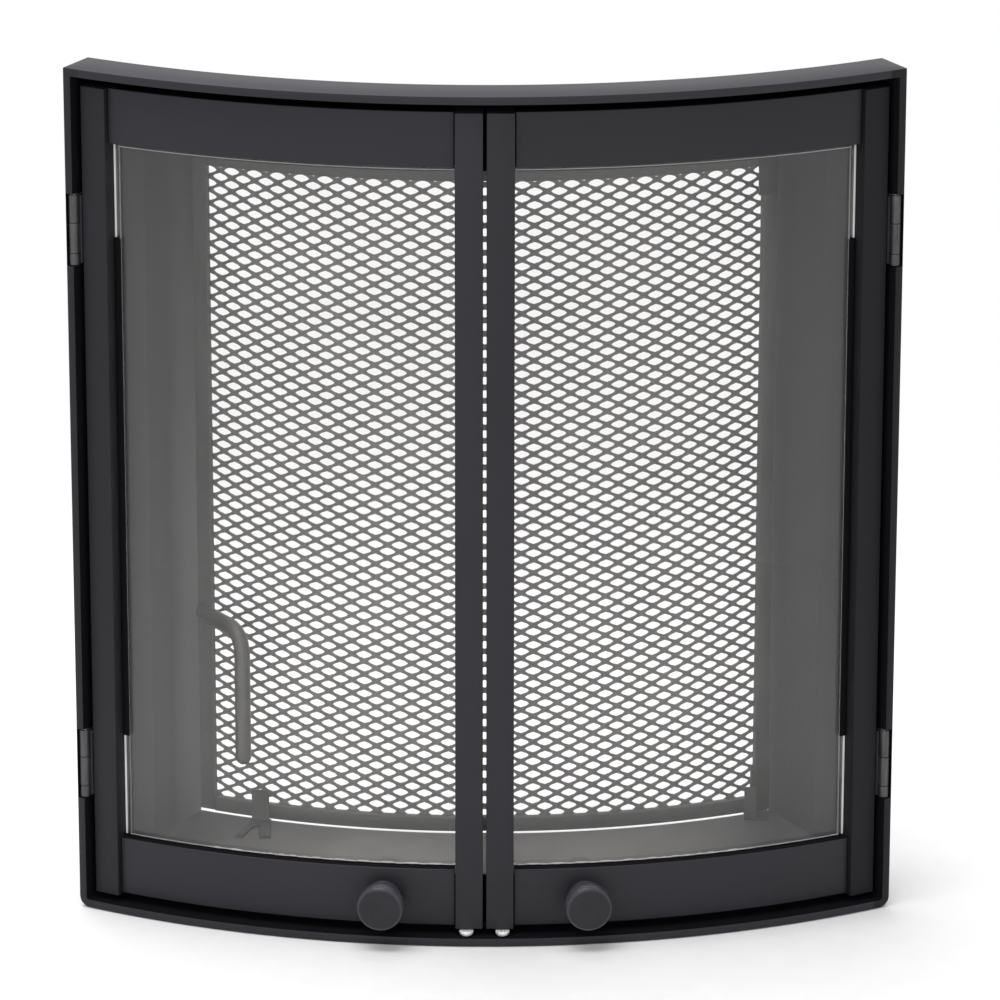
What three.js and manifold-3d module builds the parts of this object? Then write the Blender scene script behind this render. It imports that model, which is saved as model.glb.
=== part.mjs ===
// A bow-fronted fireplace door unit: a curved steel rim with a lining behind it, two hinged
// doors of bent glass, and an inner spark screen of expanded metal on two pivots.
// Millimetres. X runs to the right, Y to the back and Z up; the unit stands on its rim.
// Every curved piece is bent about one upright axis, the bow's centre, which lies behind the unit.
import * as THREE from "three";
import { mergeVertices } from "three/addons/utils/BufferGeometryUtils.js";
import Module from "manifold-3d";

// Driving dimensions.
const WIDTH = 600; // across the front corners of the rim
const HEIGHT = 642; // rim, bottom to top
const BOW_RADIUS = 610; // the rim's front edge, seen from above
const RIM_DEPTH = 33; // the rim's flat bar, front edge to back edge
const RIM_PLATE = 6; // thickness of that bar
const RIM_CORNER = 8; // rounding of the two bottom corners
const GAP = 0.3; // between pieces that touch
const SHEET = 2.5; // wings
const PLATE = 3; // floor, ceiling, sill and header

const FLOOR_TOP = 45;
const CEILING_UNDERSIDE = 580.5;
const HEARTH_REAR = 498.5; // radius of the floor's and the ceiling's rear edge, under the screen
const SILL_RADIUS = 583; // front face of the sill and the header

const DOOR_FACE = 600; // radius of the rails' front face
const RAIL_THICKNESS = 12;
const DOOR_BOTTOM = 12.5;
const DOOR_TOP = 628.5;
const BOTTOM_RAIL = 43.8; // height
const TOP_RAIL = 41; // height
const STILE_WIDTH = 20;
const STILE_PROUD = 3.5; // how far the stiles stand in front of the rails
const STILE_BACK = 586; // radius of the stiles' back face
const STILE_OVERHANG = 1.7; // how far the stiles reach below the rails
const DOOR_SIDE_GAP = 10; // from the rim's outer face to the outer stile
const DOOR_CENTRE_GAP = 1.25; // from the middle of the unit to each centre stile

const GLASS_THICKNESS = 4;
const GLASS_FACE = 593.5; // radius of the glass's front face
const GLASS_EDGE_GAP = 1; // to the rails
const GLASS_SIDE_GAP = 4.3; // to the outer stile
const GLASS_IN_STILE = 4.6; // how far the glass sits in the centre stile's groove
const CLAMP_BOTTOM = 135.5; // the clamp strip fills the side gap between these heights
const CLAMP_TOP = 516;

const KNOB_X = 73.5;
const KNOB_Z = 32.8;
const KNOB_HEAD_RADIUS = 16.8;
const KNOB_CHAMFER = 2.4; // on the front edge of the head
const KNOB_FRONT = 25.2; // the head's face, in front of the rail
const KNOB_NECK = 8.6; // radius
const ROSETTE_RADIUS = 14;
const ROSETTE_THICKNESS = 3.8;
const SCREW_HOLE = 5.8; // diameter
const SCREW_SHANK = 5;
const SCREW_HEAD = 9;
const SCREW_DEPTH = 16; // how far the knob's bore reaches in front of the rail

const HINGE_BOTTOMS = { lower: 87, upper: 496 };
const HINGE_HEIGHT = 52;
const HINGE_FOOT = 8.6; // the bottom knuckle, fixed
const HINGE_DOOR = 22.5; // the middle knuckle, on the door
const HINGE_RADIUS = 606; // the hinge axis, from the bow's centre
const HINGE_INSET = 4.3; // the hinge axis, in from the rim's outer face
const KNUCKLE_DIAMETER = 7.2;
const HINGE_BORE = 4;
const HINGE_PIN = 3.4;
const HINGE_LEAF = 1.5;
const HINGE_BRIDGE = 1.8; // thickness of the bend from the middle knuckle to its leaf
const NOTCH_DEPTH = 8.5; // cut into the rim's front edge for the knuckles

const MAGNET_DIAMETER = 10.4;
const MAGNET_HEIGHT = 3.9;
const MAGNET_FOOT = 3.7; // radius at the foot of its rounded cup
const MAGNET_X = 13.2;
const MAGNET_SET_BACK = 7; // its centre, from the rim's front edge

const SCREEN_FACE = 500; // radius of the screen bars' front face
const SCREEN_BAR = 6; // thickness of the bars
const SCREEN_HALF_WIDTH = 212.5;
const SCREEN_BOTTOM = 47.5;
const SCREEN_TOP = 561;
const SIDE_BAR_WIDTH = 11;
const BOTTOM_BAR_HEIGHT = 10.3;
const TOP_BAR_HEIGHT = 11.8;
const NET_THICKNESS = 1.6;
const NET_BEHIND_BARS = 0.6;
const NET_MARGIN = 1.5; // from the bars' outer edge to the net's, along the curve
const NET_COLUMNS = 8; // diamonds across, in the fuller rows
const NET_ROWS = 38; // rows of diamonds
const NET_STRAND = 0.3; // strand, as a share of a diamond's half width

const PIVOT_RADIUS = 498; // the screen's pivot axis, from the bow's centre
const PIVOT_INSET = 5.5; // and in from the screen's right end
const PIVOT_PIN = 3.4;
const PIVOT_BORE = 4.2;
const STRAP = 2.4; // thickness of the straps and the stop
const STRAP_HEIGHT = 33;
const BRACKET = 1.6; // thickness of the brackets
const BRACKET_FRONT = 138; // front edge, behind the rim's front centre

const STOP_X = -167;
const STOP_HALF_WIDTH = 8;
const STOP_HEIGHT = 71; // top of its tab
const STOP_FOOT = 11.8; // depth of its foot
const STOP_TOE = 34; // reach of the foot's two toes, from the tab
const SPUR_WIDTH = 5; // of the slanted toe
const SPUR_ANGLE = 0.35; // of the slanted toe, outwards

const WING_FOLD = { x: 244, depth: 104 };
const WING_FLANGE_END = 277.6;
// The left cheek ends in front of the screen's bar, the right one beside it, clear of its swing.
const WING_REAR = {
  left: { x: 212.2, depth: 156.5 },
  right: { x: 211.8, depth: 162.6 },
};

const HANDLE_ROD = 11.6;
const HANDLE_X = -178.4;
const HANDLE_DEPTH = 112;
const HANDLE_TOP = 204;
const HANDLE_END = 100;
const HANDLE_BEND = 20; // where the bend starts, from its corner

const WIDE_FACETS = 20; // flats that make up an arc, across the whole unit
const DOOR_FACETS = 10;
const SCREEN_FACETS = 16;

// Worked out from the driving dimensions.
const RIM_BACK = BOW_RADIUS - RIM_DEPTH;
const HALF_ANGLE = Math.asin(WIDTH / 2 / BOW_RADIUS);
const RAIL_BACK = DOOR_FACE - RAIL_THICKNESS;
const STILE_FACE = DOOR_FACE + STILE_PROUD;
const GLASS_BACK = GLASS_FACE - GLASS_THICKNESS;
const SCREEN_BACK = SCREEN_FACE - SCREEN_BAR;
const SCREEN_ANGLE = Math.asin(SCREEN_HALF_WIDTH / SCREEN_FACE);
const NET_FRONT = SCREEN_BACK - NET_BEHIND_BARS;
const NET_BACK = NET_FRONT - NET_THICKNESS;
const NET_ANGLE = SCREEN_ANGLE - NET_MARGIN / SCREEN_FACE;
const KNOB_ANGLE = Math.asin(KNOB_X / DOOR_FACE);
const PIVOT_X =
  PIVOT_RADIUS * Math.sin(SCREEN_ANGLE) - PIVOT_INSET * Math.cos(SCREEN_ANGLE);
const PIVOT_Y =
  -PIVOT_RADIUS * Math.cos(SCREEN_ANGLE) - PIVOT_INSET * Math.sin(SCREEN_ANGLE);

// The unit's middle, front to back, is the origin: from the knobs' faces to the net's back corners.
const FRONT_REACH =
  (DOOR_FACE + KNOB_FRONT) * Math.cos(KNOB_ANGLE) +
  (KNOB_HEAD_RADIUS - KNOB_CHAMFER) * Math.sin(KNOB_ANGLE);
const BACK_REACH = NET_BACK * Math.cos(NET_ANGLE);
const BOW_CENTRE_Y = (FRONT_REACH + BACK_REACH) / 2;

const COLOURS = {
  powderCoat: { color: 0x35343a, roughness: 0.55, metalness: 0.2 },
  lining: { color: 0x56565a, roughness: 0.6, metalness: 0.2 },
  screenSteel: { color: 0x55544f, roughness: 0.6, metalness: 0.3 },
  hingeSteel: { color: 0x6d6d70, roughness: 0.4, metalness: 0.8 },
  bright: { color: 0xe8e8ea, roughness: 0.2, metalness: 1 },
  knob: { color: 0x39383d, roughness: 0.4, metalness: 0.3 },
  glass: { color: 0xa9aaa8, roughness: 0.05, metalness: 0, transparent: true, opacity: 0.35 },
};
const MATERIALS = Object.fromEntries(
  Object.entries(COLOURS).map(([name, look]) => [name, new THREE.MeshStandardMaterial(look)]),
);

const wasm = await Module();
wasm.setup();

// ---- Solids ----

function solidOf(geometry) {
  const bare = geometry.clone();
  bare.deleteAttribute("normal");
  bare.deleteAttribute("uv");
  const merged = mergeVertices(bare, 1e-4);
  return new wasm.Manifold(
    new wasm.Mesh({
      numProp: 3,
      vertProperties: merged.attributes.position.array,
      triVerts: new Uint32Array(merged.index.array),
    }),
  );
}

function geometryOf(solid) {
  const mesh = solid.getMesh();
  const geometry = new THREE.BufferGeometry();
  geometry.setAttribute("position", new THREE.BufferAttribute(mesh.vertProperties, 3));
  geometry.setIndex(new THREE.BufferAttribute(mesh.triVerts, 1));
  geometry.computeVertexNormals();
  return geometry;
}

function joined(first, ...others) {
  return geometryOf(others.reduce((sum, other) => sum.add(solidOf(other)), solidOf(first)));
}

function cut(body, ...tools) {
  return geometryOf(tools.reduce((left, tool) => left.subtract(solidOf(tool)), solidOf(body)));
}

// A box between two opposite corners.
function block([x0, y0, z0], [x1, y1, z1]) {
  const box = new THREE.BoxGeometry(Math.abs(x1 - x0), Math.abs(y1 - y0), Math.abs(z1 - z0));
  return box.translate((x0 + x1) / 2, (y0 + y1) / 2, (z0 + z1) / 2);
}

// An upright round bar between two heights.
function upright(x, y, diameter, zLow, zHigh, sides = 16) {
  const bar = new THREE.CylinderGeometry(diameter / 2, diameter / 2, zHigh - zLow, sides);
  return bar.rotateX(Math.PI / 2).translate(x, y, (zLow + zHigh) / 2);
}

// A flat outline, seen from above, pulled up between two heights.
function pulledUp(shape, zLow, zHigh, curveSegments = 12) {
  const solid = new THREE.ExtrudeGeometry(shape, {
    depth: zHigh - zLow,
    bevelEnabled: false,
    curveSegments,
  });
  return solid.translate(0, 0, zLow);
}

// Angles are measured about the bow's centre, from straight forward, positive to the right.
const point = (radius, angle) => new THREE.Vector2(radius * Math.sin(angle), -radius * Math.cos(angle));
const fromForward = (angle) => angle - Math.PI / 2;

// Where a piece ends: on an upright plane at one x, or parallel to the rim's end and in from it.
const atX = (x) => (radius) => Math.asin(x / radius);
const inFromRim = (inset) => (radius) => HALF_ANGLE - Math.asin(inset / radius);
const mirrored = (end) => (radius) => -end(radius);

// A bar bent about the bow's centre, between two radii, two ends and two heights.
function bentBar(inner, outer, start, end, zLow, zHigh, segments = DOOR_FACETS) {
  const shape = new THREE.Shape();
  shape.absarc(0, 0, outer, fromForward(start(outer)), fromForward(end(outer)), false);
  const back = point(inner, end(inner));
  shape.lineTo(back.x, back.y);
  shape.absarc(0, 0, inner, fromForward(end(inner)), fromForward(start(inner)), true);
  return pulledUp(shape, zLow, zHigh, segments);
}

// The same on one door: from the centre plane to the plane near the rim, on side -1 or 1.
function doorBar(side, inner, outer, centreX, inset, zLow, zHigh) {
  const near = atX(centreX);
  const far = inFromRim(inset);
  return side > 0
    ? bentBar(inner, outer, near, far, zLow, zHigh)
    : bentBar(inner, outer, mirrored(far), mirrored(near), zLow, zHigh);
}

// A box in the frame of the rim's end: inset from its outer face, and radii from the bow's centre.
function endBlock(side, [inset0, inset1], [radius0, radius1], [zLow, zHigh], angle = HALF_ANGLE) {
  const box = block([-side * inset0, -radius0, zLow], [-side * inset1, -radius1, zHigh]);
  return box.rotateZ(side * angle);
}

// An outline of [inset, radius] in that frame, pulled up between two heights.
function endOutline(side, outline, [zLow, zHigh], angle) {
  const shape = new THREE.Shape(outline.map(([inset, r]) => new THREE.Vector2(-side * inset, -r)));
  return pulledUp(shape, zLow, zHigh).rotateZ(side * angle);
}

function endUpright(side, inset, radius, diameter, zLow, zHigh, sides = 16) {
  return upright(-side * inset, -radius, diameter, zLow, zHigh, sides).rotateZ(side * HALF_ANGLE);
}

// ---- Rim and lining ----

// What rounds a bottom corner of the rim: the square corner less a round bar along the rim's depth.
function cornerTool(side) {
  const square = block(
    [0, -BOW_RADIUS - 5, -5],
    [side * (RIM_CORNER + 5), -RIM_BACK + 5, RIM_CORNER],
  ).translate(-side * RIM_CORNER, 0, 0);
  const round = new THREE.CylinderGeometry(RIM_CORNER, RIM_CORNER, RIM_DEPTH + 20, 32);
  round.translate(-side * RIM_CORNER, -(BOW_RADIUS + RIM_BACK) / 2, RIM_CORNER);
  return cut(square, round).rotateZ(side * HALF_ANGLE);
}

function rimBar(zLow, zHigh) {
  const end = () => HALF_ANGLE;
  return bentBar(RIM_BACK, BOW_RADIUS, mirrored(end), end, zLow, zHigh, WIDE_FACETS);
}

function rimSide(side) {
  const heights = [RIM_PLATE + GAP, HEIGHT - RIM_PLATE - GAP];
  const bar = endBlock(side, [0, RIM_PLATE], [RIM_BACK, BOW_RADIUS], heights);
  const notches = Object.values(HINGE_BOTTOMS).map((bottom) =>
    endBlock(
      side,
      [-1, RIM_PLATE + 1],
      [BOW_RADIUS - NOTCH_DEPTH, BOW_RADIUS + 1],
      [bottom - 1, bottom + HINGE_HEIGHT + 1],
    ),
  );
  return cut(bar, cornerTool(side), ...notches);
}

function lining(zLow, zHigh) {
  const end = inFromRim(RIM_PLATE + GAP);
  return bentBar(SILL_RADIUS - PLATE, SILL_RADIUS, mirrored(end), end, zLow, zHigh, WIDE_FACETS);
}

// A wing's outline, seen from above: a flange that faces front, then a splayed cheek.
function wingOutline(word, side) {
  const fold = new THREE.Vector2(WING_FOLD.x, WING_FOLD.depth - BOW_RADIUS);
  const rear = new THREE.Vector2(WING_REAR[word].x, WING_REAR[word].depth - BOW_RADIUS);
  const along = rear.clone().sub(fold).normalize();
  const outward = new THREE.Vector2(along.y, -along.x);
  const rearOuter = rear.clone().addScaledVector(outward, SHEET);
  // The outer face of the cheek meets the flange's back face here.
  const foldOuter = fold.clone().addScaledVector(outward, SHEET);
  foldOuter.addScaledVector(along, (fold.y + SHEET - foldOuter.y) / along.y);
  const outline = [
    new THREE.Vector2(WING_FLANGE_END, fold.y),
    new THREE.Vector2(WING_FLANGE_END, fold.y + SHEET),
    foldOuter,
    rearOuter,
    rear,
    fold,
  ];
  return outline.map((p) => new THREE.Vector2(side * p.x, p.y));
}

function wing(word, side) {
  const outline = new THREE.Shape(wingOutline(word, side));
  return pulledUp(outline, FLOOR_TOP + GAP, CEILING_UNDERSIDE - GAP);
}

// Floor and ceiling: from the sill back to the screen, out to the wings' outer faces.
function hearthPlate(zLow, zHigh) {
  const front = SILL_RADIUS - PLATE - GAP;
  const frontAngle = inFromRim(RIM_PLATE + GAP)(front);
  const rearAngle = (word) => Math.asin(WING_REAR[word].x / HEARTH_REAR);
  const behindWing = (word, side) => wingOutline(word, side).slice(0, 4);
  const shape = new THREE.Shape();
  const goTo = (p) => shape.lineTo(p.x, p.y);
  shape.absarc(0, 0, front, fromForward(-frontAngle), fromForward(frontAngle), false);
  behindWing("right", 1).forEach(goTo);
  goTo(point(HEARTH_REAR, rearAngle("right")));
  const [start, end] = [fromForward(rearAngle("right")), fromForward(-rearAngle("left"))];
  shape.absarc(0, 0, HEARTH_REAR, start, end, true);
  behindWing("left", -1).reverse().forEach(goTo);
  return pulledUp(shape, zLow, zHigh, WIDE_FACETS);
}

// A catch magnet in a small bright cup on the rim, under the centre stile.
function magnet(side) {
  const radius = MAGNET_DIAMETER / 2;
  const outline = [
    [0, 0],
    [MAGNET_FOOT, 0],
    [radius - 0.5, 1.1],
    [radius, 2.3],
    [radius, MAGNET_HEIGHT],
    [0, MAGNET_HEIGHT],
  ].map(([r, height]) => new THREE.Vector2(r, height));
  const cup = new THREE.LatheGeometry(outline, 20).rotateX(Math.PI / 2);
  return cup.translate(side * MAGNET_X, MAGNET_SET_BACK - BOW_RADIUS, RIM_PLATE + GAP);
}

// ---- Hinges ----

const hingeBore = (side, bottom) =>
  endUpright(side, HINGE_INSET, HINGE_RADIUS, HINGE_BORE, bottom - 2, bottom + HINGE_HEIGHT + 2, 12);

// Fixed half: a leaf on the rim's inner face, with a knuckle at the top and one at the foot.
function frameLeaf(side, bottom) {
  const top = bottom + HINGE_HEIGHT;
  const middle = [bottom + HINGE_FOOT, bottom + HINGE_FOOT + HINGE_DOOR];
  const leafInset = [RIM_PLATE + GAP, RIM_PLATE + GAP + HINGE_LEAF];
  const leaf = endBlock(side, leafInset, [STILE_BACK, HINGE_RADIUS], [bottom, top]);
  const room = endBlock(
    side,
    [RIM_PLATE, RIM_PLATE + 3],
    [HINGE_RADIUS - 5, HINGE_RADIUS + 1],
    [middle[0] - GAP, middle[1] + GAP],
  );
  const knuckle = (zLow, zHigh) =>
    endUpright(side, HINGE_INSET, HINGE_RADIUS, KNUCKLE_DIAMETER, zLow, zHigh);
  const foot = knuckle(bottom, middle[0] - GAP);
  const head = knuckle(middle[1] + GAP, top);
  return cut(joined(cut(leaf, room), foot, head), hingeBore(side, bottom));
}

// Moving half: the middle knuckle, a short bridge over the gap, and a leaf on the outer stile.
function doorLeaf(side, bottom) {
  const top = bottom + HINGE_HEIGHT;
  const heights = [bottom + HINGE_FOOT + GAP / 2, bottom + HINGE_FOOT + HINGE_DOOR - GAP / 2];
  const leafInset = [DOOR_SIDE_GAP - GAP - HINGE_LEAF, DOOR_SIDE_GAP - GAP];
  const bridgeBack = HINGE_RADIUS - KNUCKLE_DIAMETER / 2 + 0.2;
  const bridgeFront = bridgeBack + HINGE_BRIDGE;
  const knuckle = endUpright(side, HINGE_INSET, HINGE_RADIUS, KNUCKLE_DIAMETER, ...heights);
  const bridge = endBlock(side, [HINGE_INSET, leafInset[1]], [bridgeBack, bridgeFront], heights);
  const leaf = endBlock(side, leafInset, [STILE_BACK + 1, bridgeFront], [bottom + 1, top - 1]);
  return cut(joined(knuckle, bridge, leaf), hingeBore(side, bottom));
}

function hingePin(side, bottom) {
  const top = bottom + HINGE_HEIGHT;
  const capLow = top + GAP;
  const capHigh = capLow + 0.6;
  const capDiameter = KNUCKLE_DIAMETER - 1.2;
  const shank = endUpright(side, HINGE_INSET, HINGE_RADIUS, HINGE_PIN, bottom + 0.5, capLow + 0.2, 12);
  const cap = endUpright(side, HINGE_INSET, HINGE_RADIUS, capDiameter, capLow, capHigh, 12);
  return joined(shank, cap);
}

// ---- Doors ----

const STILE_HEIGHTS = [DOOR_BOTTOM - STILE_OVERHANG, DOOR_TOP];

function outerStile(side) {
  const insets = [DOOR_SIDE_GAP, DOOR_SIDE_GAP + STILE_WIDTH];
  return endBlock(side, insets, [STILE_BACK, STILE_FACE], STILE_HEIGHTS);
}

// Grooved along its outer side, where the glass is held.
function centreStile(side) {
  const outer = DOOR_CENTRE_GAP + STILE_WIDTH;
  const stile = block(
    [side * DOOR_CENTRE_GAP, -STILE_BACK, STILE_HEIGHTS[0]],
    [side * outer, -STILE_FACE, STILE_HEIGHTS[1]],
  );
  const groove = block(
    [side * (outer - GLASS_IN_STILE - 0.5), 1 - GLASS_BACK, DOOR_BOTTOM + BOTTOM_RAIL],
    [side * (outer + 1), -GLASS_FACE - 0.5, DOOR_TOP - TOP_RAIL],
  );
  return cut(stile, groove);
}

function rail(side, zLow, zHigh) {
  const centre = DOOR_CENTRE_GAP + STILE_WIDTH + GAP;
  const inset = DOOR_SIDE_GAP + STILE_WIDTH + GAP;
  return doorBar(side, RAIL_BACK, DOOR_FACE, centre, inset, zLow, zHigh);
}

// A round bar along the knob's axis, from the bow's centre outwards, between two radii.
function alongKnob(side, diameter, inner, outer, sides) {
  const bar = new THREE.CylinderGeometry(diameter / 2, diameter / 2, outer - inner, sides);
  return bar.translate(0, -(inner + outer) / 2, KNOB_Z).rotateZ(side * KNOB_ANGLE);
}

function bottomRail(side) {
  const bar = rail(side, DOOR_BOTTOM, DOOR_BOTTOM + BOTTOM_RAIL);
  return cut(bar, alongKnob(side, SCREW_HOLE, RAIL_BACK - 5, DOOR_FACE + 5, 12));
}

function glass(side) {
  const centre = DOOR_CENTRE_GAP + STILE_WIDTH - GLASS_IN_STILE;
  const inset = DOOR_SIDE_GAP + STILE_WIDTH + GLASS_SIDE_GAP;
  const zLow = DOOR_BOTTOM + BOTTOM_RAIL + GLASS_EDGE_GAP;
  const zHigh = DOOR_TOP - TOP_RAIL - GLASS_EDGE_GAP;
  return doorBar(side, GLASS_BACK, GLASS_FACE, centre, inset, zLow, zHigh);
}

// A channel that grips the glass's outer edge and fills part of the gap beside it.
function glassClamp(side) {
  const angle = HALF_ANGLE - (DOOR_SIDE_GAP + STILE_WIDTH + GLASS_SIDE_GAP) / GLASS_FACE;
  const leg = 1.2; // thickness of the two legs
  const web = [-3.6, -0.5]; // insets from the glass's edge
  const tip = 1.2;
  const front = GLASS_FACE + GAP;
  const back = GLASS_BACK - GAP;
  const outline = [
    [web[0], back - leg],
    [tip, back - leg],
    [tip, back],
    [web[1], back],
    [web[1], front],
    [tip, front],
    [tip, front + leg],
    [web[0], front + leg],
  ];
  return endOutline(side, outline, [CLAMP_BOTTOM, CLAMP_TOP], angle);
}

// Turned about the knob's axis from an outline of [radius, distance in front of the rail].
function turned(side, outline, segments) {
  const points = outline.map(([radius, height]) => new THREE.Vector2(radius, height));
  const lathe = new THREE.LatheGeometry(points, segments);
  return lathe.rotateX(Math.PI).translate(0, -DOOR_FACE, KNOB_Z).rotateZ(side * KNOB_ANGLE);
}

function knobRosette(side) {
  const bore = SCREW_HOLE / 2;
  const chamfer = 1.2;
  const outline = [
    [bore, GAP],
    [ROSETTE_RADIUS, GAP],
    [ROSETTE_RADIUS, ROSETTE_THICKNESS - chamfer],
    [ROSETTE_RADIUS - chamfer, ROSETTE_THICKNESS],
    [bore, ROSETTE_THICKNESS],
    [bore, GAP],
  ];
  return turned(side, outline, 28);
}

function knob(side) {
  const bore = SCREW_HOLE / 2;
  const head = KNOB_HEAD_RADIUS;
  const start = ROSETTE_THICKNESS + GAP;
  const headBack = 12;
  const backChamfer = 1.2;
  const outline = [
    [0, SCREW_DEPTH],
    [bore, SCREW_DEPTH],
    [bore, start],
    [KNOB_NECK + 0.9, start],
    [KNOB_NECK, start + 1.9],
    [KNOB_NECK, headBack - 2.5],
    [KNOB_NECK + 1.4, headBack - 0.8],
    [head - backChamfer, headBack],
    [head, headBack + backChamfer],
    [head, KNOB_FRONT - KNOB_CHAMFER],
    [head - KNOB_CHAMFER, KNOB_FRONT],
    [0, KNOB_FRONT],
  ];
  return turned(side, outline, 32);
}

function knobScrew(side) {
  const headHeight = 2.6;
  const headTop = RAIL_BACK - GAP;
  const shank = alongKnob(side, SCREW_SHANK, headTop - 1, DOOR_FACE + SCREW_DEPTH - 1, 12);
  const head = alongKnob(side, SCREW_HEAD, headTop - headHeight, headTop, 12);
  return joined(shank, head);
}

// ---- Spark screen ----

// A box in the frame of the screen's end, as endBlock.
const screenBlock = (side, insets, radii, heights) =>
  endBlock(side, insets, radii, heights, SCREEN_ANGLE);

// The right bar is shorter at both ends, where the straps' tabs pass over it.
function screenSideBar(side) {
  const short = side > 0 ? STRAP + GAP : 0;
  const heights = [SCREEN_BOTTOM + short, SCREEN_TOP - short];
  return screenBlock(side, [0, SIDE_BAR_WIDTH], [SCREEN_BACK, SCREEN_FACE], heights);
}

function screenCrossBar(zLow, zHigh) {
  const inset = SIDE_BAR_WIDTH + GAP;
  const end = (radius) => SCREEN_ANGLE - Math.asin(inset / radius);
  return bentBar(SCREEN_BACK, SCREEN_FACE, mirrored(end), end, zLow, zHigh, SCREEN_FACETS);
}

// Expanded metal: rows of diamonds, each row half a diamond along from the last, bent to the
// screen's curve. Every diamond is a ring of four strands that it shares with its neighbours.
function screenNet() {
  const zLow = SCREEN_BOTTOM + 1;
  const zHigh = SCREEN_TOP - 1;
  const stepAngle = NET_ANGLE / NET_COLUMNS; // half a diamond
  const stepZ = (zHigh - zLow) / (NET_ROWS + 1); // half a diamond
  const positions = [];
  const triangles = [];
  const indexOf = new Map();

  // A corner or hole vertex of the net, in half diamonds across and up, on the front or the back.
  function vertex(across, up, radius) {
    const key = `${across.toFixed(3)} ${up.toFixed(3)} ${radius}`;
    if (!indexOf.has(key)) {
      const p = point(radius, -NET_ANGLE + across * stepAngle);
      indexOf.set(key, positions.length / 3);
      positions.push(p.x, p.y, zLow + up * stepZ);
    }
    return indexOf.get(key);
  }
  function quad(a, b, c, d) {
    triangles.push(a, b, c, a, c, d);
  }
  const isDiamond = (column, row) =>
    column >= 1 && column <= 2 * NET_COLUMNS - 1 && row >= 1 && row <= NET_ROWS &&
    (column + row) % 2 === 0;
  const corners = [[-1, 0], [0, -1], [1, 0], [0, 1]];

  for (let row = 1; row <= NET_ROWS; row++) {
    for (let column = 1; column < 2 * NET_COLUMNS; column++) {
      if (!isDiamond(column, row)) continue;
      const at = ([x, z], size, radius) => vertex(column + x * size, row + z * size, radius);
      corners.forEach((corner, i) => {
        const next = corners[(i + 1) % 4];
        const hole = 1 - NET_STRAND;
        const [a, b] = [at(corner, 1, NET_FRONT), at(next, 1, NET_FRONT)];
        const [c, d] = [at(next, hole, NET_FRONT), at(corner, hole, NET_FRONT)];
        const [e, f] = [at(corner, 1, NET_BACK), at(next, 1, NET_BACK)];
        const [g, h] = [at(next, hole, NET_BACK), at(corner, hole, NET_BACK)];
        quad(a, b, c, d); // front face of this strand
        quad(f, e, h, g); // back face
        quad(d, c, g, h); // wall of the hole
        const beyond = [column + corner[0] + next[0], row + corner[1] + next[1]];
        if (!isDiamond(...beyond)) quad(b, a, e, f); // the net's outer edge
      });
    }
  }
  const geometry = new THREE.BufferGeometry();
  geometry.setAttribute("position", new THREE.Float32BufferAttribute(positions, 3));
  geometry.setIndex(triangles);
  geometry.computeVertexNormals();
  return geometry;
}

// A rod that stands off the left bar, turns down and hangs free: the hand goes behind it.
function screenHandle() {
  const bar = point(SCREEN_FACE, -SCREEN_ANGLE + SIDE_BAR_WIDTH / 2 / SCREEN_FACE);
  const start = new THREE.Vector3(bar.x, bar.y, HANDLE_TOP);
  const corner = new THREE.Vector3(HANDLE_X, HANDLE_DEPTH - BOW_RADIUS, HANDLE_TOP);
  const end = new THREE.Vector3(corner.x, corner.y, HANDLE_END);
  const towards = (from, to, distance) => to.clone().sub(from).setLength(distance).add(from);
  const bendStart = towards(corner, start, HANDLE_BEND);
  const bendEnd = towards(corner, end, HANDLE_BEND);
  const path = new THREE.CurvePath();
  path.add(new THREE.LineCurve3(start, bendStart));
  path.add(new THREE.QuadraticBezierCurve3(bendStart, corner, bendEnd));
  path.add(new THREE.LineCurve3(bendEnd, end));
  const section = new THREE.Shape().absarc(0, 0, HANDLE_ROD / 2, 0, 2 * Math.PI, false);
  const rod = new THREE.ExtrudeGeometry(section, {
    steps: 24,
    curveSegments: 6,
    extrudePath: path,
    bevelEnabled: false,
  });
  const reach = 20; // more than the rod's thickness
  const behindFace = screenBlock(
    -1,
    [-reach, SIDE_BAR_WIDTH + reach],
    [SCREEN_BACK - reach, SCREEN_FACE + GAP],
    [HANDLE_TOP - reach, HANDLE_TOP + reach],
  );
  return cut(rod, behindFace);
}

// A strap on the right bar's face, with a tab over the bar's end that turns on a pivot pin.
function pivotStrap([zLow, zHigh], [tabLow, tabHigh]) {
  const front = SCREEN_FACE + GAP + STRAP;
  const plate = screenBlock(1, [1, SIDE_BAR_WIDTH + 5], [SCREEN_FACE + GAP, front], [zLow, zHigh]);
  const tab = screenBlock(1, [1, SIDE_BAR_WIDTH - 0.2], [SCREEN_BACK + 0.2, front], [tabLow, tabHigh]);
  const bore = upright(PIVOT_X, PIVOT_Y, PIVOT_BORE, tabLow - 1, tabHigh + 1, 16);
  return cut(joined(plate, tab), bore);
}

// A plate on the floor or under the ceiling that reaches back to the pin, with a part of its own:
// a lug turned up in front of the bar, or a collar down to the screen.
function pivotBracket([zLow, zHigh], extra) {
  const plate = block(
    [PIVOT_X - 13, BRACKET_FRONT - BOW_RADIUS, zLow],
    [PIVOT_X + 5, PIVOT_Y + 5, zHigh],
  );
  const bore = upright(PIVOT_X, PIVOT_Y, PIVOT_BORE, FLOOR_TOP - 1, CEILING_UNDERSIDE + 1, 16);
  return cut(joined(plate, extra), bore);
}

function bracketLug() {
  const front = BRACKET_FRONT - BOW_RADIUS;
  const left = PIVOT_X - 13;
  return block([left, front, FLOOR_TOP + GAP], [left + 9, front + STRAP, STOP_HEIGHT]);
}

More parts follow.
